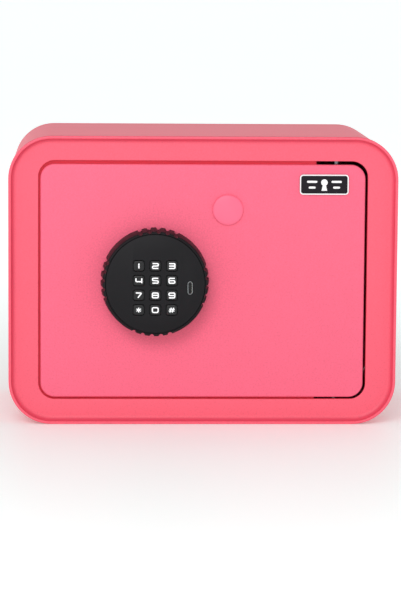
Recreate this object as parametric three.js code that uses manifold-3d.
// A small steel safe with large round corners, a hinged door and a round keypad lock.
// Millimetres. +X is to the right, +Y goes from the front to the back, +Z is up.
// The origin is under the middle of the safe, on the surface that it stands on.
import * as THREE from 'three';
import { mergeVertices } from 'three/addons/utils/BufferGeometryUtils.js';
import Module from 'manifold-3d';

const wasm = await Module();
wasm.setup();

// ---- Driving dimensions -------------------------------------------------------------------

// Case: front frame, shell, back panel and mat
const WIDTH = 270;
const HEIGHT = 201;
const DEPTH = 157; // front of the rim to the back
const CORNER_R = 30;
const SHEET = 2; // steel of the shell, the ring and the flanges
const RIM_PROUD = 0.8; // how far the rim stands out over the shell
const RIM_FACE = 2; // width of the rim's front edge
const RIM_ROUND = 0.7;
const RING_RECESS = 4.5; // from the rim back to the flat ring
const COVE_R = 4;
const RING_SIDE = 20.7; // from the case's side to the door opening
const RING_END = 17.1; // from the case's top or bottom to the door opening
const OPENING_R = 11.5;
const STOP_WIDTH = 5; // the door stop's reach into the opening, on all but the hinge side
const STOP_GAP = 0.5; // between the door's plate and the stop
const BACK_SHEET = 2;
const ANCHOR_R = 5; // holes for wall bolts
const ANCHOR_SPACING = 140;
const MAT_WIDTH = 204;
const MAT_THICK = 2;
const MAT_MARGIN = 8; // from the mat to the front ring and the back panel

// Door
const DOOR_PLATE = 3;
const DOOR_DEPTH = 26; // over its flanges
const FLANGE_CLEAR = 2; // between the stop's edge and the door's flanges
const FLANGE_R = 6;
const DOOR_R = 10;
const GAP_LEFT = 1.4;
const GAP_RIGHT = 1.8;
const GAP_TOP = 2.5;
const GAP_BOTTOM = 1.4;
const HINGE_SIDE_DEPTH = 12; // the hinge side's shorter flange
const NOTCH_LENGTH = 34; // flange cut away round each hinge
const NOTCH_HEIGHT = 22;

// Hinge
const HINGE_INSET = 20; // pin centre from the door's hinge edge
const HINGE_SET_BACK = 6.5; // pin centre behind the door's face
const PIN_R = 2;
const PIN_HEAD_R = 3.5;
const PIN_HEAD_THICK = 1.5;
const LUG_THICK = 5;
const LUG_WIDTH = 18;
const LUG_REACH = 9.5;
const LUG_LEG = 11; // length of the lug's leg along the door plate
const LUG_DROP = 5.7; // from the door's edge to the lug
const BRACKET_THICK = 3;
const BRACKET_WIDTH = 23;
const BRACKET_REACH = 16;

// Round keypad lock
const LOCK_INSET = 79.4; // grip's centre from the door's free edge
const GRIP_BASE_R = 37.7;
const GRIP_FRONT_R = 36.4;
const GRIP_HEIGHT = 17; // keypad face in front of the door
const GRIP_CHAMFER = 1.1;
const GRIP_WALL = 1.8; // behind the chamfer
const GRIP_FLOOR = 3;
const GRIP_GAP = 0.6; // between the grip and the door
const GRIP_FOOT_EDGE = 0.5;
const GROOVE_R = 1.5;
const GROOVE_GROUPS = 4;
const GROOVES_IN_GROUP = 5;
const GROOVE_STEP = 10; // degrees
const GRIP_PHASE = -3.5; // degrees, the grip's small play from upright
const SLEEVE_R = 9;
const SLEEVE_WALL = 2.7;
const CORE_WALL = 1.9;
const POD_PLATE = 2.2;
const POD_WALL = 2;
const POD_BASE = 2.5;
const POD_BASE_GAP = 0.5;
const BOARD_THICK = 1.6;
const MAT_SHEET = 0.8; // rubber dome mat

// Keys and charging socket
const KEY_COLUMNS = 3;
const KEY_ROWS = 4;
const KEY_PITCH_X = 11.4;
const KEY_PITCH_Z = 10.2;
const KEY_WIDTH = 7.5;
const KEY_HEIGHT = 7.1;
const KEY_R = 1.6;
const KEY_GAP = 0.35; // between a key and its window
const KEY_PROUD = 0.5;
const KEY_LENGTH = 4.1;
const KEY_FLANGE = 0.95; // how far the flange reaches round the key
const KEY_FLANGE_THICK = 1.1;
const KEY_TRAVEL = 0.8;
const KEYPAD_DROP = 2.7; // keypad centre below the grip's centre
const SOCKET_OFFSET = 24; // from the grip's centre
const SOCKET_LONG = 8.94;
const SOCKET_WIDE = 3.26;
const SOCKET_WALL = 0.3;
const SOCKET_DEPTH = 6.4;
const SOCKET_PROUD = 0.1; // in front of the keypad face
const TONGUE_LONG = 6.6;
const TONGUE_WIDE = 0.7;
const TONGUE_SET_BACK = 0.8;
const SOCKET_BLOCK = 1.6; // thickness of the plastic behind the tongue

// Crank, bolt carrier and bolts
const CRANK_R = 13; // drive pin's radius
const CRANK_DISC_R = 17;
const CRANK_THICK = 2;
const DRIVE_PIN_R = 2;
const DRIVE_PIN_END = 0.7; // past the carrier
const GRIP_TURN = 60; // degrees from open to locked
const CARRIER_SHEET = 2;
const CARRIER_BAND = 39; // height round the lock
const CARRIER_LEFT = -52.5; // ends of the carrier, from the lock's centre
const CARRIER_RIGHT = 25.5;
const ARM_WIDTH = 9;
const ARM_END = 1; // of the carrier's arm past a bolt
const BOLT_R = 7;
const BOLT_END = 31.4; // bolt centres from the door's folded top and bottom edges
const BOLT_DEPTH = 16.5; // bolt centre behind the door's face
const TENON_R = 3.2;
const TAB_THICK = 3;
const BOLT_INSET = 0.5; // drawn bolt's tip inside the door's flange

// Solenoid
const SOLENOID_OFFSET = 32.5; // its axis to the left of the grip's centre
const SOLENOID_DEPTH = 12.5; // its axis behind the door's face
const SHELF_REACH = 5; // round the plunger's axis
const SHELF_MARGIN = 8;
const PLUNGER_R = 2.3;
const PLUNGER_TRAVEL = 4;
const PLUNGER_TAIL = 3; // above the frame
const PLUNGER_REST = 0.8; // tip above the carrier's shelf
const COLLAR_R = 3.6;
const COLLAR_THICK = 1;
const COLLAR_GAP = 0.5; // collar above the shelf when the plunger is down
const SPRING_LENGTH = 5;
const SPRING_R = 3.1;
const SPRING_WIRE = 0.4;
const SPRING_TURNS = 3;
const COIL_R = 6.8;
const COIL_LENGTH = 16.4;
const FRAME_WIDTH = 16;
const FRAME_SHEET = 2;
const FRAME_WEB = 1.5; // its side against the door

// Pod bracket
const STRAP_WIDTH = 16;
const STRAP_HALF = 29;
const STRAP_DEPTH = 12; // its front behind the door's face
const FOOT = 10;
const NUT_R = 10;
const NUT_THICK = 4;
const CORE_END = 0.5; // core showing behind the nut

// Emergency key lock and its cap
const KEYLOCK_OFFSET = 50.5; // to the right of the grip's centre
const KEYLOCK_DROP = 27.05; // below the door's folded top edge
const BARREL_R = 8;
const BARREL_LENGTH = 21;
const CAP_SEAT_R = 6.6;
const CAP_SEAT_DEPTH = 3;
const PLUG_R = 5;
const KEYWAY_WIDTH = 1.8;
const KEYWAY_HEIGHT = 7;
const KEYWAY_DEPTH = 9;
const PLUG_END = 1; // behind the barrel
const CAM_THICK = 2;
const CAM_LENGTH = 22;
const CAM_WIDTH = 12;
const CAM_TIP = 8;
const LOCK_NUT_R = 11.5;
const CAP_R = 10.5;
const CAP_EDGE = 0.8;
const CAP_DOME = 1.5;
const CAP_STUB_WALL = 1.2;

// Badge
const BADGE_WIDTH = 34;
const BADGE_HEIGHT = 14;
const BADGE_R = 2.4;
const BADGE_THICK = 0.8;
const BADGE_INSET = 28.7; // centre from the door's hinge edge
const BADGE_DROP = 13.7; // centre from the door's top

// Inner cover, batteries and board
const COVER_SHEET = 1.5;
const COVER_R = 8;
const COVER_MARGIN = 0.4; // inside the door's flanges
const COVER_HINGE_MARGIN = 31.5;
const COVER_SIDE_GAP = 1; // from the cover's folded side to the hinge notches
const STUD_R = 3.2;
const STUD_INSET = 5.2; // stud centres from the folded left edge
const STUD_RIGHT = 37; // and from its hinge edge
const STUD_END = 4.7; // and from the folded top and bottom edges
const SCREW_R = 1.4;
const SCREW_HOLE_DEPTH = 10;
const SCREW_HEAD_R = 3.2;
const SCREW_HEAD = 2;
const SCREW_HEAD_EDGE = 0.8;
const CELL_R = 7.2;
const CELL_LENGTH = 49;
const CELL_NUB_R = 2.7;
const CELL_NUB = 1.4;
const CELL_PITCH = 15;
const CELL_COUNT = 4;
const CELL_ROOM = 2; // in front of and behind the cells, together
const BOX_INSET = 13; // from the cover's hinge edge to the battery box's inside
const BOX_RISE = 15.5; // from the door's lower edge to the battery box's inside
const BOX_HEIGHT = 54;
const BOX_WALL = 1.5;
const BOX_FLANGE = 3;
const LID_SHEET = 1.5;
const LID_MARGIN = 3;
const LID_RIDGES = 3;
const RIDGE_LENGTH = 20;
const RIDGE_WIDTH = 1.2;
const RIDGE_HEIGHT = 0.8;
const RIDGE_PITCH = 3;
const RIDGE_DROP = 4; // first ridge below the battery box's upper end
const BUTTON_R = 3;
const BUTTON_LENGTH = 10.8;
const BUTTON_PROUD = 1;
const BUTTON_INSET = 8; // from the battery box's hinge end
const BUTTON_RISE = 24; // above the battery box
const BOARD_WIDTH = 72;
const BOARD_HEIGHT = 25;
const BOARD_OFFSET = 24; // its centre to the left of the reset button
const BOARD_DEPTH = 8; // behind the door's face
const BOARD_DROP = 2.5; // its centre below the reset button
const CONNECTOR_PLACE = 0.2; // places along the board, as shares of its width
const CHIP_PLACE = 0.47;
const CAPACITOR_PLACE = 0.68;
const CONNECTOR_HALF = 6;
const CONNECTOR_TALL = 5;
const CHIP_HALF = 5;
const CHIP_TALL = 1.6;
const CAPACITOR_R = 3.2;
const CAPACITOR_TALL = 7;
const SWITCH_HALF = 3;
const SWITCH_TALL = 3.5;

// Clearances
const WELD = 0.3; // between pieces that are fixed together
const RUNNING = 0.3; // round a turning or sliding piece
const STRAP_GAP = 0.4; // between flat layers of the lock
const LOOSE = 0.5; // round what passes through a hole
const LAYER_GAP = 0.6; // between the crank and the carrier, and round the keypad's boards
const PIN_SLOT_GAP = 0.35; // round the drive pin in its slot

// Overlaps used in the making, which leave no mark on the part
const PAST = 1; // how far a cutter runs past what it cuts
const BITE = 0.5; // how far joined shapes run into each other
const SLIVER = 0.01; // flat left between two round corners, so that their points stay apart

// Facets
const BIG_ARC = 9; // steps in a quarter of a large corner
const SMALL_ARC = 4;
const ROUND = 16; // sides of a small cylinder
const FINE_ROUND = 28;
const POD_ROUND = 44;
const GRIP_ROUND = 60;
const GROOVE_SIDES = 8;
const SCREW_SIDES = 12;
const WIRE_SIDES = 6;
const TURN_STEPS = 12; // in one turn of the spring

// ---- Places worked out from them ----------------------------------------------------------

const RIM_Y = -DEPTH / 2;
const BACK_Y = DEPTH / 2;
const FACE_Y = RIM_Y + RING_RECESS; // front of the ring and of the door
const RING_BACK = FACE_Y + SHEET;
const MID_Z = HEIGHT / 2;
const OPENING_W = WIDTH - 2 * RING_SIDE;
const OPENING_H = HEIGHT - 2 * RING_END;
const OPENING_TOP = MID_Z + OPENING_H / 2;
const OPENING_BOTTOM = MID_Z - OPENING_H / 2;

const SHELL_W = WIDTH - 2 * RIM_PROUD;
const SHELL_H = HEIGHT - RIM_PROUD; // its floor is level with the rim's

const DOOR_LEFT = -OPENING_W / 2 + GAP_LEFT;
const DOOR_RIGHT = OPENING_W / 2 - GAP_RIGHT;
const DOOR_TOP = OPENING_TOP - GAP_TOP;
const DOOR_BOTTOM = OPENING_BOTTOM + GAP_BOTTOM;
const DOOR_W = DOOR_RIGHT - DOOR_LEFT;
const DOOR_H = DOOR_TOP - DOOR_BOTTOM;
const DOOR_X = (DOOR_RIGHT + DOOR_LEFT) / 2;
const DOOR_Z = (DOOR_TOP + DOOR_BOTTOM) / 2;
const PLATE_BACK = FACE_Y + DOOR_PLATE;
const DOOR_BACK = FACE_Y + DOOR_DEPTH;
const STOP_FRONT = PLATE_BACK + STOP_GAP;
const STOP_BACK = STOP_FRONT + SHEET;
const NOTCH_X = DOOR_RIGHT - NOTCH_LENGTH;

// The flanges clear the stop on three sides and are flush with the door's hinge edge.
const FLANGE_LEFT = -OPENING_W / 2 + STOP_WIDTH + FLANGE_CLEAR;
const FLANGE_TOP = OPENING_TOP - STOP_WIDTH - FLANGE_CLEAR;
const FLANGE_BOTTOM = OPENING_BOTTOM + STOP_WIDTH + FLANGE_CLEAR;

const PIN_X = DOOR_RIGHT - HINGE_INSET;
const PIN_Y = FACE_Y + HINGE_SET_BACK;

const LOCK_X = DOOR_LEFT + LOCK_INSET;
const LOCK_Z = DOOR_Z;
const POD_FRONT = FACE_Y - GRIP_HEIGHT;
const GRIP_BORE_R = GRIP_FRONT_R - GRIP_CHAMFER - (GRIP_WALL - GRIP_CHAMFER);
const GRIP_FLOOR_FRONT = FACE_Y - GRIP_GAP - GRIP_FLOOR;
const POD_R = GRIP_BORE_R - STRAP_GAP;
const POD_BASE_BACK = GRIP_FLOOR_FRONT - POD_BASE_GAP;
const CORE_R = SLEEVE_R - SLEEVE_WALL - STRAP_GAP;
const KEYPAD_Z = LOCK_Z - KEYPAD_DROP;

const CRANK_FRONT = PLATE_BACK + LOOSE;
const CRANK_BACK = CRANK_FRONT + CRANK_THICK;
const CARRIER_FRONT = CRANK_BACK + LAYER_GAP;
const CARRIER_BACK = CARRIER_FRONT + CARRIER_SHEET;
const HALF_TURN = THREE.MathUtils.degToRad(GRIP_TURN / 2);
const TRAVEL = 2 * CRANK_R * Math.sin(HALF_TURN);
const BOLT_Y = FACE_Y + BOLT_DEPTH;
const BOLT_TIP = FLANGE_LEFT + BOLT_INSET;
const BOLT_SPREAD = (FLANGE_TOP - FLANGE_BOTTOM) / 2 - BOLT_END;
const CARRIER_X0 = LOCK_X + CARRIER_LEFT;
const CARRIER_X1 = LOCK_X + CARRIER_RIGHT;

const SOLENOID_X = LOCK_X - SOLENOID_OFFSET;
const SHELF_TOP = LOCK_Z + CARRIER_BAND / 2;
const PLUNGER_TIP = SHELF_TOP + PLUNGER_REST;
const PLUNGER_Y = FACE_Y + SOLENOID_DEPTH;
const COLLAR_TOP = SHELF_TOP + COLLAR_GAP + PLUNGER_TRAVEL + COLLAR_THICK;
const FRAME_BOTTOM = COLLAR_TOP + SPRING_LENGTH + 2 * WELD;
const COIL_BOTTOM = FRAME_BOTTOM + FRAME_SHEET + WELD;
const FRAME_TOP = COIL_BOTTOM + COIL_LENGTH + WELD + FRAME_SHEET;

const COVER_FRONT = DOOR_BACK + WELD;
const COVER_BACK = COVER_FRONT + COVER_SHEET;
const COVER_RIGHT = DOOR_RIGHT - COVER_HINGE_MARGIN;
const KEYLOCK_X = LOCK_X + KEYLOCK_OFFSET;
const KEYLOCK_Z = FLANGE_TOP - KEYLOCK_DROP;
const BOX_W = CELL_COUNT * CELL_PITCH;
const BOX_X = COVER_RIGHT - BOX_INSET - BOX_W;
const BOX_Z = DOOR_BOTTOM + BOX_RISE;
const BUTTON_X = BOX_X + BOX_W - BUTTON_INSET;
const BUTTON_Z = BOX_Z + BOX_HEIGHT + BUTTON_RISE;
const BOX_BACK = COVER_FRONT - STRAP_GAP;
const BOX_FRONT = BOX_BACK - (2 * CELL_R + CELL_ROOM) - BOX_WALL;

// ---- Shape helpers ------------------------------------------------------------------------

// Points round a rectangle with round corners, anticlockwise. A radius of half its width gives round ends.
function roundedRect(cx, cy, w, h, radius, steps = SMALL_ARC) {
  const points = [];
  const r = Math.min(radius, Math.min(w, h) / 2 - SLIVER);
  const corners = [[1, -1, -90], [1, 1, 0], [-1, 1, 90], [-1, -1, 180]];
  for (const [sx, sy, start] of corners) {
    for (let i = 0; i <= steps; i++) {
      const a = THREE.MathUtils.degToRad(start + (90 * i) / steps);
      const x = cx + sx * (w / 2 - r) + r * Math.cos(a);
      points.push(new THREE.Vector2(x, cy + sy * (h / 2 - r) + r * Math.sin(a)));
    }
  }
  return points;
}

function circle(cx, cy, r, sides = ROUND) {
  const points = [];
  for (let i = 0; i < sides; i++) {
    const a = (2 * Math.PI * i) / sides;
    points.push(new THREE.Vector2(cx + r * Math.cos(a), cy + r * Math.sin(a)));
  }
  return points;
}

function shapeOf(outline, holes = []) {
  const shape = new THREE.Shape(outline);
  for (const hole of holes) shape.holes.push(new THREE.Path(hole));
  return shape;
}

// A plate whose outline is drawn in X and Z, from y0 back to y1.
function plateY(outline, y0, y1, holes = []) {
  const g = new THREE.ExtrudeGeometry(shapeOf(outline, holes), { depth: y1 - y0, bevelEnabled: false });
  g.rotateX(Math.PI / 2);
  g.translate(0, y1, 0);
  return g;
}

// A plate whose outline is drawn in X and Y, from z0 up to z1.
function plateZ(outline, z0, z1, holes = []) {
  const g = new THREE.ExtrudeGeometry(shapeOf(outline, holes), { depth: z1 - z0, bevelEnabled: false });
  g.translate(0, 0, z0);
  return g;
}

function box(x0, x1, y0, y1, z0, z1) {
  const g = new THREE.BoxGeometry(x1 - x0, y1 - y0, z1 - z0);
  g.translate((x0 + x1) / 2, (y0 + y1) / 2, (z0 + z1) / 2);
  return g;
}

function rodY(x, z, r, y0, y1, sides = ROUND) {
  const g = new THREE.CylinderGeometry(r, r, y1 - y0, sides);
  g.translate(x, (y0 + y1) / 2, z);
  return g;
}

function rodX(y, z, r, x0, x1, sides = ROUND) {
  const g = new THREE.CylinderGeometry(r, r, x1 - x0, sides);
  g.rotateZ(Math.PI / 2);
  g.translate((x0 + x1) / 2, y, z);
  return g;
}

function rodZ(x, y, r, z0, z1, sides = ROUND) {
  const g = new THREE.CylinderGeometry(r, r, z1 - z0, sides);
  g.rotateX(Math.PI / 2);
  g.translate(x, y, (z0 + z1) / 2);
  return g;
}

// A turned piece on an axis along Y; the profile is [radius, y] pairs.
function turnedY(x, z, profile, sides = ROUND) {
  const points = profile.map(([r, y]) => new THREE.Vector2(r, y));
  if (profile[0][0] > 0) points.push(points[0].clone());
  const g = new THREE.LatheGeometry(points, sides);
  g.translate(x, 0, z);
  return g;
}

// A closed band: outlines of the same count of points, each at its own y, joined in a loop.
function bandY(rings) {
  const count = rings[0].outline.length;
  const positions = [];
  for (const { outline, y } of rings) for (const p of outline) positions.push(p.x, y, p.y);
  const index = [];
  for (let i = 0; i < rings.length; i++) {
    const next = (i + 1) % rings.length;
    for (let j = 0; j < count; j++) {
      const k = (j + 1) % count;
      const [a, b] = [i * count + j, i * count + k];
      const [c, d] = [next * count + j, next * count + k];
      index.push(a, b, c, b, d, c);
    }
  }
  const g = new THREE.BufferGeometry();
  g.setAttribute('position', new THREE.Float32BufferAttribute(positions, 3));
  g.setIndex(index);
  return g;
}

function solid(geometry) {
  const g = geometry.clone();
  g.deleteAttribute('normal');
  g.deleteAttribute('uv');
  const merged = mergeVertices(g, 1e-4);
  const triVerts = new Uint32Array(merged.index.array);
  const vertProperties = merged.attributes.position.array;
  return new wasm.Manifold(new wasm.Mesh({ numProp: 3, vertProperties, triVerts }));
}

function geometryOf(manifold) {
  const mesh = manifold.getMesh();
  const g = new THREE.BufferGeometry();
  g.setAttribute('position', new THREE.BufferAttribute(new Float32Array(mesh.vertProperties), 3));
  g.setIndex(new THREE.BufferAttribute(new Uint32Array(mesh.triVerts), 1));
  g.computeVertexNormals();
  return g;
}

const joined = (...parts) => geometryOf(parts.map(solid).reduce((all, one) => all.add(one)));
const common = (a, b) => geometryOf(solid(a).intersect(solid(b)));
const cut = (base, ...tools) => {
  return geometryOf(tools.map(solid).reduce((left, one) => left.subtract(one), solid(base)));
};

// ---- Finishes and nodes -------------------------------------------------------------------

const FINISHES = {
  frame_paint: [0xfe6b7e, 0.5, 0.1],
  door_paint: [0xfd7189, 0.55, 0.1],
  cap_paint: [0xff7d9b, 0.5, 0],
  grip_plastic: [0x2a2a2d, 0.6, 0],
  key_plastic: [0x1b1b1e, 0.35, 0],
  badge_plate: [0x1c1a20, 0.3, 0.2],
  zinc: [0xb4b6b8, 0.4, 0.9],
  steel_bolt: [0xc8cacc, 0.25, 1],
  brass: [0xb89a52, 0.35, 0.9],
  cover_plastic: [0x2b2b2e, 0.65, 0],
  reset_plastic: [0xb81c22, 0.4, 0],
  circuit_board: [0x1f5a37, 0.5, 0],
  coil_tape: [0x9a5a24, 0.5, 0.2],
  cell_wrap: [0x3c4a66, 0.35, 0.2],
  rubber: [0x55565a, 0.8, 0],
  felt: [0x2f2f33, 0.95, 0],
};

const safe = new THREE.Group();

function add(name, geometry, finish) {
  const [color, roughness, metalness] = FINISHES[finish];
  const mesh = new THREE.Mesh(geometry, new THREE.MeshStandardMaterial({ color, roughness, metalness }));
  mesh.name = name;
  safe.add(mesh);
}

// ---- Case ---------------------------------------------------------------------------------

function shell() {
  const outer = roundedRect(0, SHELL_H / 2, SHELL_W, SHELL_H, CORNER_R - RIM_PROUD, BIG_ARC);
  const w = SHELL_W - 2 * SHEET;
  const h = SHELL_H - 2 * SHEET;
  const inner = roundedRect(0, SHELL_H / 2, w, h, CORNER_R - RIM_PROUD - SHEET, BIG_ARC);
  return plateY(outer, RING_BACK + WELD, BACK_Y, [inner]);
}

function backPanel() {
  const inset = SHEET + WELD;
  const r = CORNER_R - RIM_PROUD - inset;
  const outline = roundedRect(0, SHELL_H / 2, SHELL_W - 2 * inset, SHELL_H - 2 * inset, r, BIG_ARC);
  const holes = [-1, 1].map((side) => circle((side * ANCHOR_SPACING) / 2, MID_Z, ANCHOR_R));
  return plateY(outline, BACK_Y - BACK_SHEET, BACK_Y, holes);
}

// The rim, its cove, the flat ring, the lip round the opening and the stop that the door
// closes against, as one pressing. The hinge side has no stop, so that the door can swing.
function frontFrame() {
  const section = [];
  const put = (inset, y) => section.push([inset, y]);
  const quarter = (cx, cy, r, from, to) => {
    for (let i = 0; i <= 4; i++) {
      const a = THREE.MathUtils.degToRad(from + ((to - from) * i) / 4);
      put(cx + r * Math.cos(a), cy + r * Math.sin(a));
    }
  };
  put(0, RING_BACK);
  quarter(RIM_ROUND, RIM_Y + RIM_ROUND, RIM_ROUND, 180, 270);
  quarter(RIM_FACE - RIM_ROUND, RIM_Y + RIM_ROUND, RIM_ROUND, 270, 360);
  quarter(RIM_FACE + COVE_R, FACE_Y - COVE_R + SLIVER, COVE_R, 180, 90);
  const ringEdge = section.length;
  put(0, FACE_Y);
  put(0, STOP_FRONT);
  put(STOP_WIDTH, STOP_FRONT);
  put(STOP_WIDTH, STOP_BACK);
  put(-SHEET, STOP_BACK);
  put(-SHEET, RING_BACK);
  const rings = section.map(([inset, y], i) => {
    const inner = i >= ringEdge;
    const w = inner ? OPENING_W - 2 * inset : WIDTH - 2 * inset;
    const h = inner ? OPENING_H - 2 * inset : HEIGHT - 2 * inset;
    const r = inner ? OPENING_R - inset : CORNER_R - inset;
    return { outline: roundedRect(0, MID_Z, w, h, r, BIG_ARC), y };
  });
  const pinHole = PIN_R + RUNNING;
  const pins = [OPENING_TOP, OPENING_BOTTOM].map((z) => {
    return rodZ(PIN_X, PIN_Y, pinHole, z - 2 * SHEET, z + 2 * SHEET);
  });
  const opening = roundedRect(0, MID_Z, OPENING_W, OPENING_H, OPENING_R, BIG_ARC);
  const hingeSide = box(NOTCH_X, OPENING_W, FACE_Y, STOP_BACK + PAST, 0, HEIGHT);
  return cut(bandY(rings), ...pins, common(plateY(opening, FACE_Y, STOP_BACK + PAST), hingeSide));
}

function mat() {
  const y0 = STOP_BACK + MAT_MARGIN;
  const y1 = BACK_Y - BACK_SHEET - MAT_MARGIN;
  const z0 = SHEET + WELD;
  return plateZ(roundedRect(0, (y0 + y1) / 2, MAT_WIDTH, y1 - y0, 6), z0, z0 + MAT_THICK);
}

add('shell', shell(), 'frame_paint');
add('back_panel', backPanel(), 'frame_paint');
add('front_frame', frontFrame(), 'frame_paint');
add('floor_mat', mat(), 'felt');

// ---- Hinge --------------------------------------------------------------------------------

// Everything at the lower hinge is the upper one turned over.
for (const [end, up] of [['top', 1], ['bottom', -1]]) {
  const lip = (up > 0 ? OPENING_TOP : OPENING_BOTTOM) + up * SHEET;
  const doorEdge = up > 0 ? DOOR_TOP : DOOR_BOTTOM;
  const span = (a, b) => [Math.min(a, b), Math.max(a, b)];

  const [b0, b1] = span(lip + up * WELD, lip + up * (WELD + BRACKET_THICK));
  const front = RING_BACK + WELD;
  const bracket = roundedRect(PIN_X, front + BRACKET_REACH / 2, BRACKET_WIDTH, BRACKET_REACH, 2, 3);
  const bore = circle(PIN_X, PIN_Y, PIN_R + RUNNING);
  add(`hinge_bracket_${end}`, plateZ(bracket, b0, b1, [bore]), 'zinc');

  const lugFace = doorEdge - up * LUG_DROP;
  const [l0, l1] = span(lugFace, lugFace - up * LUG_THICK);
  const [g0, g1] = span(lugFace, lugFace - up * (LUG_THICK + LUG_LEG));
  const lugFront = PLATE_BACK + WELD;
  const x0 = PIN_X - LUG_WIDTH / 2;
  const x1 = PIN_X + LUG_WIDTH / 2;
  const arm = box(x0, x1, lugFront, lugFront + LUG_REACH, l0, l1);
  const lug = joined(arm, box(x0, x1, lugFront, lugFront + SHEET, g0, g1));
  add(`hinge_lug_${end}`, cut(lug, rodZ(PIN_X, PIN_Y, PIN_R + RUNNING, l0 - PAST, l1 + PAST)), 'zinc');

  const headFoot = lip + up * (2 * WELD + BRACKET_THICK);
  const headEnd = headFoot + up * PIN_HEAD_THICK;
  const [s0, s1] = span(lugFace - up * (LUG_THICK - WELD), headEnd);
  const [h0, h1] = span(headFoot, headEnd);
  const pin = joined(rodZ(PIN_X, PIN_Y, PIN_R, s0, s1), rodZ(PIN_X, PIN_Y, PIN_HEAD_R, h0, h1));
  add(`hinge_pin_${end}`, pin, 'zinc');
}

// ---- Door ---------------------------------------------------------------------------------

const studs = [];
for (const x of [FLANGE_LEFT + STUD_INSET, DOOR_RIGHT - STUD_RIGHT]) {
  for (const z of [FLANGE_BOTTOM + STUD_END, FLANGE_TOP - STUD_END]) studs.push([x, z]);
}

function doorPanel() {
  const outer = roundedRect(DOOR_X, DOOR_Z, DOOR_W, DOOR_H, DOOR_R, BIG_ARC);
  const [cx, cz] = [(FLANGE_LEFT + DOOR_RIGHT) / 2, (FLANGE_TOP + FLANGE_BOTTOM) / 2];
  const [w, h] = [DOOR_RIGHT - FLANGE_LEFT, FLANGE_TOP - FLANGE_BOTTOM];
  const tray = roundedRect(cx, cz, w, h, FLANGE_R, BIG_ARC);
  const inner = roundedRect(cx, cz, w - 2 * SHEET, h - 2 * SHEET, FLANGE_R - SHEET, BIG_ARC);
  const flange = plateY(tray, PLATE_BACK - BITE, DOOR_BACK, [inner]);
  const posts = studs.map(([x, z]) => rodY(x, z, STUD_R, PLATE_BACK - BITE, DOOR_BACK));
  const [screwEnd, screwPast] = [DOOR_BACK - SCREW_HOLE_DEPTH, DOOR_BACK + PAST];
  const holes = studs.map(([x, z]) => rodY(x, z, SCREW_R + STRAP_GAP, screwEnd, screwPast, SCREW_SIDES));
  const past = 5;
  const [x0, x1, back] = [NOTCH_X, DOOR_RIGHT + past, DOOR_BACK + past];
  const notches = [
    box(x0, x1, PLATE_BACK, back, DOOR_TOP - NOTCH_HEIGHT, DOOR_TOP + past),
    box(x0, x1, PLATE_BACK, back, DOOR_BOTTOM - past, DOOR_BOTTOM + NOTCH_HEIGHT),
    box(x0, x1, FACE_Y + HINGE_SIDE_DEPTH, back, DOOR_BOTTOM, DOOR_TOP),
  ];
  const boltHoles = [-1, 1].map((side) => {
    const z = LOCK_Z + side * BOLT_SPREAD;
    return rodX(BOLT_Y, z, BOLT_R + RUNNING, FLANGE_LEFT - past, FLANGE_LEFT + SHEET + past, FINE_ROUND);
  });
  return cut(
    joined(plateY(outer, FACE_Y, PLATE_BACK), flange, ...posts),
    ...holes,
    ...notches,
    ...boltHoles,
    rodY(LOCK_X, LOCK_Z, SLEEVE_R + LOOSE, FACE_Y - PAST, PLATE_BACK + PAST, FINE_ROUND),
    rodY(KEYLOCK_X, KEYLOCK_Z, BARREL_R + RUNNING, FACE_Y - PAST, PLATE_BACK + PAST, FINE_ROUND),
  );
}

add('door_panel', doorPanel(), 'door_paint');

const [badgeX, badgeZ] = [DOOR_RIGHT - BADGE_INSET, DOOR_TOP - BADGE_DROP];
const badge = roundedRect(badgeX, badgeZ, BADGE_WIDTH, BADGE_HEIGHT, BADGE_R);
add('badge_plate', plateY(badge, FACE_Y - WELD - BADGE_THICK, FACE_Y - WELD), 'badge_plate');

// ---- Grip ring, crank and keypad pod ------------------------------------------------------

function gripRing() {
  const foot = FACE_Y - GRIP_GAP;
  const body = turnedY(LOCK_X, LOCK_Z, [
    [SLEEVE_R, CRANK_BACK],
    [SLEEVE_R, foot],
    [GRIP_BASE_R - GRIP_FOOT_EDGE, foot],
    [GRIP_BASE_R, foot - GRIP_FOOT_EDGE],
    [GRIP_FRONT_R, POD_FRONT + GRIP_CHAMFER],
    [GRIP_FRONT_R - GRIP_CHAMFER, POD_FRONT],
    [GRIP_BORE_R, POD_FRONT],
    [GRIP_BORE_R, GRIP_FLOOR_FRONT],
    [SLEEVE_R - SLEEVE_WALL, GRIP_FLOOR_FRONT],
    [SLEEVE_R - SLEEVE_WALL, CRANK_BACK],
  ].reverse(), GRIP_ROUND);
  const cutters = [];
  for (let group = 0; group < GROOVE_GROUPS; group++) {
    for (let i = 0; i < GROOVES_IN_GROUP; i++) {
      const degrees = (360 * group) / GROOVE_GROUPS + (i - (GROOVES_IN_GROUP - 1) / 2) * GROOVE_STEP;
      const a = THREE.MathUtils.degToRad(degrees + GRIP_PHASE);
      const x = LOCK_X + GRIP_BASE_R * Math.cos(a);
      const z = LOCK_Z + GRIP_BASE_R * Math.sin(a);
      cutters.push(rodY(x, z, GROOVE_R, POD_FRONT - PAST, foot + PAST, GROOVE_SIDES));
    }
  }
  return cut(body, ...cutters);
}

// The drive pin stands at the right of the crank's top when the bolts are drawn.
const drivePin = [LOCK_X + CRANK_R * Math.sin(HALF_TURN), LOCK_Z + CRANK_R * Math.cos(HALF_TURN)];

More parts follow.
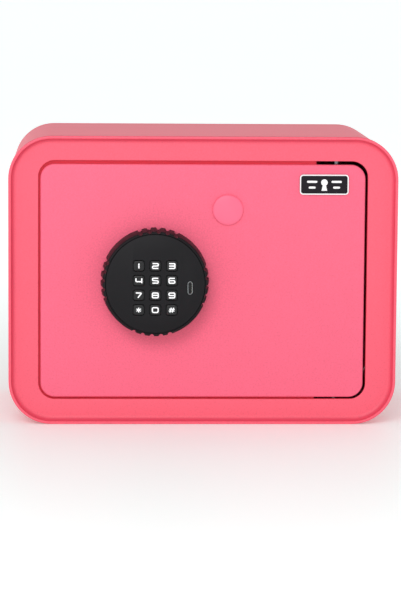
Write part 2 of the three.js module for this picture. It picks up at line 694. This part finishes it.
function crankPlate() {
  const bore = circle(LOCK_X, LOCK_Z, SLEEVE_R + WELD, FINE_ROUND);
  const disc = plateY(circle(LOCK_X, LOCK_Z, CRANK_DISC_R, FINE_ROUND), CRANK_FRONT, CRANK_BACK, [bore]);
  return joined(disc, rodY(...drivePin, DRIVE_PIN_R, CRANK_BACK - BITE, CARRIER_BACK + DRIVE_PIN_END));
}

add('grip_ring', gripRing(), 'grip_plastic');
add('crank_plate', crankPlate(), 'zinc');

const KEY_NAMES = ['1', '2', '3', '4', '5', '6', '7', '8', '9', 'star', '0', 'hash'];
const keys = KEY_NAMES.map((name, i) => ({
  name,
  x: LOCK_X + ((i % KEY_COLUMNS) - (KEY_COLUMNS - 1) / 2) * KEY_PITCH_X,
  z: KEYPAD_Z + ((KEY_ROWS - 1) / 2 - Math.floor(i / KEY_COLUMNS)) * KEY_PITCH_Z,
}));
const socket = { x: LOCK_X + SOCKET_OFFSET, z: KEYPAD_Z };

function podFace() {
  const windows = keys.map(({ x, z }) => {
    return roundedRect(x, z, KEY_WIDTH + 2 * KEY_GAP, KEY_HEIGHT + 2 * KEY_GAP, KEY_R + KEY_GAP, 2);
  });
  const w = SOCKET_WIDE + 2 * WELD;
  windows.push(roundedRect(socket.x, socket.z, w, SOCKET_LONG + 2 * WELD, w / 2, 5));
  const disc = circle(LOCK_X, LOCK_Z, POD_R, POD_ROUND);
  const front = plateY(disc, POD_FRONT, POD_FRONT + POD_PLATE, windows);
  const skirtBack = POD_BASE_BACK - POD_BASE - WELD;
  const bore = circle(LOCK_X, LOCK_Z, POD_R - POD_WALL, POD_ROUND);
  const skirt = plateY(disc, POD_FRONT + POD_PLATE - BITE, skirtBack, [bore]);
  return joined(front, skirt);
}

const STRAP_FRONT = FACE_Y + STRAP_DEPTH;
const NUT_BACK = STRAP_FRONT + SHEET + WELD + NUT_THICK;
const BOARD_R = POD_R - POD_WALL - LAYER_GAP;

function podBase() {
  const inner = CORE_R - CORE_WALL;
  return turnedY(LOCK_X, LOCK_Z, [
    [inner, POD_BASE_BACK - POD_BASE],
    [BOARD_R, POD_BASE_BACK - POD_BASE],
    [BOARD_R, POD_BASE_BACK],
    [CORE_R, POD_BASE_BACK],
    [CORE_R, NUT_BACK + CORE_END],
    [inner, NUT_BACK + CORE_END],
  ], POD_ROUND);
}

const KEY_BACK = POD_FRONT - KEY_PROUD + KEY_LENGTH;
const DOME_FRONT = KEY_BACK + KEY_TRAVEL + STRAP_GAP;

function key({ x, z }) {
  const cap = roundedRect(x, z, KEY_WIDTH, KEY_HEIGHT, KEY_R, 2);
  const flange = roundedRect(x, z, KEY_WIDTH + 2 * KEY_FLANGE, KEY_HEIGHT + 2 * KEY_FLANGE, KEY_R, 1);
  const top = plateY(cap, POD_FRONT - KEY_PROUD, KEY_BACK - KEY_FLANGE_THICK + BITE);
  return joined(top, plateY(flange, KEY_BACK - KEY_FLANGE_THICK, KEY_BACK));
}

function socketShell() {
  const front = POD_FRONT - SOCKET_PROUD;
  const outer = roundedRect(socket.x, socket.z, SOCKET_WIDE, SOCKET_LONG, SOCKET_WIDE / 2, 5);
  const w = SOCKET_WIDE - 2 * SOCKET_WALL;
  const inner = roundedRect(socket.x, socket.z, w, SOCKET_LONG - 2 * SOCKET_WALL, w / 2, 5);
  return plateY(outer, front, front + SOCKET_DEPTH, [inner]);
}

function socketTongue() {
  const back = POD_FRONT + SOCKET_DEPTH - WELD;
  const w = SOCKET_WIDE - 2 * SOCKET_WALL - WELD;
  const h = SOCKET_LONG - 2 * SOCKET_WALL - WELD;
  const block = plateY(roundedRect(socket.x, socket.z, w, h, w / 2, 4), back - SOCKET_BLOCK, back);
  const [x, z] = [socket.x, socket.z];
  const [thick, long] = [TONGUE_WIDE / 2, TONGUE_LONG / 2];
  const bladeBack = back - SOCKET_BLOCK + BITE;
  const blade = box(x - thick, x + thick, POD_FRONT + TONGUE_SET_BACK, bladeBack, z - long, z + long);
  return joined(block, blade);
}

const BOARD_FRONT = POD_FRONT + SOCKET_DEPTH + WELD;
const MAT_W = KEY_COLUMNS * KEY_PITCH_X;
const MAT_H = KEY_ROWS * KEY_PITCH_Z;
const boardDisc = circle(LOCK_X, LOCK_Z, BOARD_R, POD_ROUND);
add('keypad_face', podFace(), 'grip_plastic');
add('keypad_base', podBase(), 'grip_plastic');
add('keypad_board', plateY(boardDisc, BOARD_FRONT, BOARD_FRONT + BOARD_THICK), 'circuit_board');
const domes = roundedRect(LOCK_X, KEYPAD_Z, MAT_W, MAT_H, 2, 3);
add('dome_mat', plateY(domes, DOME_FRONT, DOME_FRONT + MAT_SHEET), 'rubber');
add('charge_socket', socketShell(), 'steel_bolt');
add('socket_tongue', socketTongue(), 'key_plastic');
for (const one of keys) add(`key_${one.name}`, key(one), 'key_plastic');

function podBracket() {
  const x0 = LOCK_X - STRAP_WIDTH / 2;
  const x1 = LOCK_X + STRAP_WIDTH / 2;
  const foot = PLATE_BACK + WELD;
  const back = STRAP_FRONT + SHEET;
  const parts = [box(x0, x1, STRAP_FRONT, back, LOCK_Z - STRAP_HALF, LOCK_Z + STRAP_HALF)];
  for (const side of [-1, 1]) {
    const span = (a, b) => [LOCK_Z + Math.min(side * a, side * b), LOCK_Z + Math.max(side * a, side * b)];
    parts.push(box(x0, x1, foot, back, ...span(STRAP_HALF - SHEET, STRAP_HALF)));
    parts.push(box(x0, x1, foot, foot + SHEET, ...span(STRAP_HALF - SHEET, STRAP_HALF + FOOT)));
  }
  return cut(joined(...parts), rodY(LOCK_X, LOCK_Z, CORE_R + RUNNING, STRAP_FRONT - PAST, back + PAST));
}

add('pod_bracket', podBracket(), 'zinc');
const nutHole = circle(LOCK_X, LOCK_Z, CORE_R + RUNNING);
add('pod_nut', plateY(circle(LOCK_X, LOCK_Z, NUT_R, 6), NUT_BACK - NUT_THICK, NUT_BACK, [nutHole]), 'zinc');

// ---- Bolt carrier and bolts ---------------------------------------------------------------

function boltCarrier() {
  const half = CARRIER_BAND / 2;
  const armHalf = BOLT_SPREAD + BOLT_R + ARM_END;
  const back = BOLT_Y + BOLT_R;
  const tabX = CARRIER_X0 + TAB_THICK;
  const strip = (x1, reach) => {
    return box(CARRIER_X0, x1, CARRIER_FRONT, CARRIER_BACK, LOCK_Z - reach, LOCK_Z + reach);
  };
  const parts = [strip(CARRIER_X1, half), strip(CARRIER_X0 + ARM_WIDTH, armHalf)];
  const holes = [];
  for (const side of [-1, 1]) {
    const z = LOCK_Z + side * BOLT_SPREAD;
    parts.push(box(CARRIER_X0, tabX, CARRIER_BACK - BITE, back, z - BOLT_R, z + BOLT_R));
    holes.push(rodX(BOLT_Y, z, TENON_R + WELD, CARRIER_X0 - PAST, tabX + PAST));
  }
  const shelfX0 = SOLENOID_X - SHELF_MARGIN;
  const shelfX1 = SOLENOID_X + TRAVEL + SHELF_MARGIN;
  const shelfBack = PLUNGER_Y + SHELF_REACH;
  parts.push(box(shelfX0, shelfX1, CARRIER_BACK - BITE, shelfBack, SHELF_TOP - SHEET, SHELF_TOP));
  for (const x of [SOLENOID_X, SOLENOID_X + TRAVEL]) {
    holes.push(rodZ(x, PLUNGER_Y, PLUNGER_R + STRAP_GAP, SHELF_TOP - SHEET - PAST, SHELF_TOP + PAST));
  }
  const pinR = DRIVE_PIN_R + PIN_SLOT_GAP;
  const pinTop = LOCK_Z + CRANK_R;
  const pinZ = (drivePin[1] + pinTop) / 2;
  const pinSlot = roundedRect(drivePin[0], pinZ, 2 * pinR, pinTop - drivePin[1] + 2 * pinR, pinR);
  const coreR = CORE_R + STRAP_GAP;
  const coreSlot = roundedRect(LOCK_X + TRAVEL / 2, LOCK_Z, TRAVEL + 2 * coreR, 2 * coreR, coreR);
  for (const slot of [pinSlot, coreSlot]) {
    holes.push(plateY(slot, CARRIER_FRONT - PAST, CARRIER_BACK + PAST));
  }
  return cut(joined(...parts), ...holes);
}

add('bolt_carrier', boltCarrier(), 'zinc');
for (const [name, side] of [['upper', 1], ['lower', -1]]) {
  const z = LOCK_Z + side * BOLT_SPREAD;
  const shoulder = CARRIER_X0 - WELD;
  const bolt = rodX(BOLT_Y, z, BOLT_R, BOLT_TIP, shoulder, FINE_ROUND);
  const tenon = rodX(BOLT_Y, z, TENON_R, shoulder - BITE, CARRIER_X0 + TAB_THICK + WELD);
  add(`bolt_${name}`, joined(bolt, tenon), 'steel_bolt');
}

// ---- Solenoid -----------------------------------------------------------------------------

function solenoidFrame() {
  const front = PLATE_BACK + LOOSE;
  const back = PLUNGER_Y + FRAME_WIDTH / 2;
  const x0 = SOLENOID_X - FRAME_WIDTH / 2;
  const x1 = SOLENOID_X + FRAME_WIDTH / 2;
  const hole = rodZ(SOLENOID_X, PLUNGER_Y, PLUNGER_R + LOOSE, FRAME_BOTTOM - PAST, FRAME_TOP + PAST);
  const plates = joined(
    box(x0, x1, front, back, FRAME_BOTTOM, FRAME_BOTTOM + FRAME_SHEET),
    box(x0, x1, front, back, FRAME_TOP - FRAME_SHEET, FRAME_TOP),
    box(x0, x1, front, front + FRAME_WEB, FRAME_BOTTOM, FRAME_TOP),
  );
  return cut(plates, hole);
}

function plungerSpring() {
  const low = COLLAR_TOP + WELD + SPRING_WIRE;
  const high = FRAME_BOTTOM - WELD - SPRING_WIRE;
  class Helix extends THREE.Curve {
    getPoint(t) {
      const a = 2 * Math.PI * SPRING_TURNS * t;
      const x = SOLENOID_X + SPRING_R * Math.cos(a);
      return new THREE.Vector3(x, PLUNGER_Y + SPRING_R * Math.sin(a), low + (high - low) * t);
    }
  }
  const section = shapeOf(circle(0, 0, SPRING_WIRE, WIRE_SIDES));
  const steps = TURN_STEPS * SPRING_TURNS;
  return new THREE.ExtrudeGeometry(section, { extrudePath: new Helix(), steps, bevelEnabled: false });
}

const coilHole = circle(SOLENOID_X, PLUNGER_Y, PLUNGER_R + LOOSE);
const coilDisc = circle(SOLENOID_X, PLUNGER_Y, COIL_R, FINE_ROUND);
const coil = plateZ(coilDisc, COIL_BOTTOM, COIL_BOTTOM + COIL_LENGTH, [coilHole]);
add('solenoid_frame', solenoidFrame(), 'zinc');
add('solenoid_coil', coil, 'coil_tape');
const plungerRod = rodZ(SOLENOID_X, PLUNGER_Y, PLUNGER_R, PLUNGER_TIP, FRAME_TOP + PLUNGER_TAIL);
const plungerCollar = rodZ(SOLENOID_X, PLUNGER_Y, COLLAR_R, COLLAR_TOP - COLLAR_THICK, COLLAR_TOP);
add('solenoid_plunger', joined(plungerRod, plungerCollar), 'steel_bolt');
add('plunger_spring', plungerSpring(), 'steel_bolt');

// ---- Emergency key lock -------------------------------------------------------------------

const BARREL_BACK = FACE_Y + BARREL_LENGTH;
const SEAT_BACK = FACE_Y + CAP_SEAT_DEPTH;
const PLUG_BACK = BARREL_BACK + PLUG_END;

function lockPlug() {
  const front = SEAT_BACK + WELD;
  const plug = rodY(KEYLOCK_X, KEYLOCK_Z, PLUG_R, front, PLUG_BACK, FINE_ROUND);
  const [w, h] = [KEYWAY_WIDTH / 2, KEYWAY_HEIGHT / 2];
  const [y0, y1] = [front - PAST, front + KEYWAY_DEPTH];
  return cut(plug, box(KEYLOCK_X - w, KEYLOCK_X + w, y0, y1, KEYLOCK_Z - h, KEYLOCK_Z + h));
}

function lockCam() {
  const front = PLUG_BACK + STRAP_GAP;
  const outline = [];
  const r = CAM_WIDTH / 2;
  for (let i = 0; i <= BIG_ARC; i++) {
    const a = (Math.PI * i) / BIG_ARC;
    outline.push(new THREE.Vector2(KEYLOCK_X + r * Math.cos(a), KEYLOCK_Z + r * Math.sin(a)));
  }
  outline.push(new THREE.Vector2(KEYLOCK_X - CAM_TIP / 2, KEYLOCK_Z - CAM_LENGTH));
  outline.push(new THREE.Vector2(KEYLOCK_X + CAM_TIP / 2, KEYLOCK_Z - CAM_LENGTH));
  return plateY(outline, front, front + CAM_THICK);
}

function lockCap() {
  const back = FACE_Y - WELD;
  const stub = CAP_SEAT_R - STRAP_GAP;
  const profile = [
    [0, back + WELD],
    [stub - CAP_STUB_WALL, back + WELD],
    [stub - CAP_STUB_WALL, SEAT_BACK - LAYER_GAP],
    [stub, SEAT_BACK - LAYER_GAP],
    [stub, back],
    [CAP_R, back],
  ];
  for (let i = 0; i <= SMALL_ARC; i++) {
    const a = (Math.PI / 2) * (i / SMALL_ARC);
    profile.push([CAP_R * Math.cos(a), back - CAP_EDGE - CAP_DOME * Math.sin(a)]);
  }
  profile[profile.length - 1][0] = 0;
  return turnedY(KEYLOCK_X, KEYLOCK_Z, profile.reverse(), FINE_ROUND);
}

const barrel = turnedY(KEYLOCK_X, KEYLOCK_Z, [
  [CAP_SEAT_R, FACE_Y],
  [BARREL_R, FACE_Y],
  [BARREL_R, BARREL_BACK],
  [PLUG_R + RUNNING, BARREL_BACK],
  [PLUG_R + RUNNING, SEAT_BACK],
  [CAP_SEAT_R, SEAT_BACK],
], FINE_ROUND);
const lockNut = plateY(
  circle(KEYLOCK_X, KEYLOCK_Z, LOCK_NUT_R, 6),
  PLATE_BACK + WELD,
  PLATE_BACK + WELD + NUT_THICK,
  [circle(KEYLOCK_X, KEYLOCK_Z, BARREL_R + WELD, FINE_ROUND)],
);
add('lock_barrel', barrel, 'brass');
add('lock_nut', lockNut, 'zinc');
add('lock_plug', lockPlug(), 'brass');
add('lock_cam', lockCam(), 'zinc');
add('lock_cap', lockCap(), 'cap_paint');

// ---- Inner cover, batteries and control board ---------------------------------------------

function innerCover() {
  const x0 = FLANGE_LEFT + COVER_MARGIN;
  const x1 = COVER_RIGHT;
  const h = FLANGE_TOP - FLANGE_BOTTOM - 2 * COVER_MARGIN;
  const outline = roundedRect((x0 + x1) / 2, (FLANGE_TOP + FLANGE_BOTTOM) / 2, x1 - x0, h, COVER_R);
  const windows = [
    roundedRect(BOX_X + BOX_W / 2, BOX_Z + BOX_HEIGHT / 2, BOX_W, BOX_HEIGHT, 2, 3),
    circle(BUTTON_X, BUTTON_Z, BUTTON_R + STRAP_GAP),
    ...studs.map(([x, z]) => circle(x, z, SCREW_R + LOOSE, SCREW_SIDES)),
  ];
  const sheet = plateY(outline, COVER_FRONT, COVER_BACK, windows);
  const low = DOOR_BOTTOM + NOTCH_HEIGHT + COVER_SIDE_GAP;
  const high = DOOR_TOP - NOTCH_HEIGHT - COVER_SIDE_GAP;
  return joined(sheet, box(x1 - COVER_SHEET, x1, PLATE_BACK + LOOSE, COVER_BACK - BITE, low, high));
}

add('inner_cover', innerCover(), 'cover_plastic');
studs.forEach(([x, z], i) => {
  const seat = COVER_BACK + WELD;
  const screw = turnedY(x, z, [
    [0, DOOR_BACK - SCREW_HOLE_DEPTH + LOOSE],
    [SCREW_R, DOOR_BACK - SCREW_HOLE_DEPTH + LOOSE],
    [SCREW_R, seat],
    [SCREW_HEAD_R, seat],
    [SCREW_HEAD_R, seat + SCREW_HEAD - SCREW_HEAD_EDGE],
    [SCREW_HEAD_R - SCREW_HEAD_EDGE, seat + SCREW_HEAD],
    [0, seat + SCREW_HEAD],
  ]);
  add(`cover_screw_${i + 1}`, screw, 'zinc');
});

function batteryBox() {
  const cx = BOX_X + BOX_W / 2;
  const cz = BOX_Z + BOX_HEIGHT / 2;
  const rect = (grow, r) => roundedRect(cx, cz, BOX_W + 2 * grow, BOX_HEIGHT + 2 * grow, r, 3);
  return joined(
    plateY(rect(BOX_WALL, 2), BOX_FRONT, BOX_FRONT + BOX_WALL),
    plateY(rect(BOX_WALL, 2), BOX_FRONT + BOX_WALL - BITE, BOX_BACK, [rect(0, 1)]),
    plateY(rect(BOX_FLANGE, 2), BOX_BACK - BOX_WALL, BOX_BACK, [rect(0, 1)]),
  );
}

add('battery_box', batteryBox(), 'cover_plastic');
for (let i = 0; i < CELL_COUNT; i++) {
  const x = BOX_X + CELL_PITCH * (i + 0.5);
  const y = (BOX_FRONT + BOX_WALL + BOX_BACK) / 2;
  const low = BOX_Z + (BOX_HEIGHT - CELL_LENGTH - CELL_NUB) / 2;
  const cell = joined(
    rodZ(x, y, CELL_R, low, low + CELL_LENGTH),
    rodZ(x, y, CELL_NUB_R, low + CELL_LENGTH - BITE, low + CELL_LENGTH + CELL_NUB, SCREW_SIDES),
  );
  if (i % 2) cell.rotateX(Math.PI).translate(0, 2 * y, 2 * (BOX_Z + BOX_HEIGHT / 2));
  add(`battery_${i + 1}`, cell, 'cell_wrap');
}

function batteryLid() {
  const front = COVER_BACK + WELD;
  const cx = BOX_X + BOX_W / 2;
  const cz = BOX_Z + BOX_HEIGHT / 2;
  const outline = roundedRect(cx, cz, BOX_W + 2 * LID_MARGIN, BOX_HEIGHT + 2 * LID_MARGIN, 3, 4);
  const parts = [plateY(outline, front, front + LID_SHEET)];
  for (let i = 0; i < LID_RIDGES; i++) {
    const z = BOX_Z + BOX_HEIGHT - RIDGE_DROP - RIDGE_PITCH * i;
    const [w, h, top] = [RIDGE_LENGTH / 2, RIDGE_WIDTH / 2, front + LID_SHEET];
    parts.push(box(cx - w, cx + w, top - BITE, top + RIDGE_HEIGHT, z - h, z + h));
  }
  return joined(...parts);
}

function controlBoard() {
  const front = FACE_Y + BOARD_DEPTH;
  const back = front + BOARD_THICK;
  const z = BUTTON_Z - BOARD_DROP;
  const x0 = BUTTON_X - BOARD_OFFSET - BOARD_WIDTH / 2;
  const block = (cx, cz, half, tall) => {
    return box(cx - half, cx + half, back - BITE, back + tall, cz - half, cz + half);
  };
  return joined(
    box(x0, x0 + BOARD_WIDTH, front, back, z - BOARD_HEIGHT / 2, z + BOARD_HEIGHT / 2),
    block(x0 + BOARD_WIDTH * CONNECTOR_PLACE, z, CONNECTOR_HALF, CONNECTOR_TALL),
    block(x0 + BOARD_WIDTH * CHIP_PLACE, z, CHIP_HALF, CHIP_TALL),
    rodY(x0 + BOARD_WIDTH * CAPACITOR_PLACE, z, CAPACITOR_R, back - BITE, back + CAPACITOR_TALL),
    block(BUTTON_X, BUTTON_Z, SWITCH_HALF, SWITCH_TALL),
  );
}

const buttonBack = COVER_BACK + BUTTON_PROUD;
const button = rodY(BUTTON_X, BUTTON_Z, BUTTON_R, buttonBack - BUTTON_LENGTH, buttonBack);
add('battery_lid', batteryLid(), 'cover_plastic');
add('control_board', controlBoard(), 'circuit_board');
add('reset_button', button, 'reset_plastic');

export default safe;
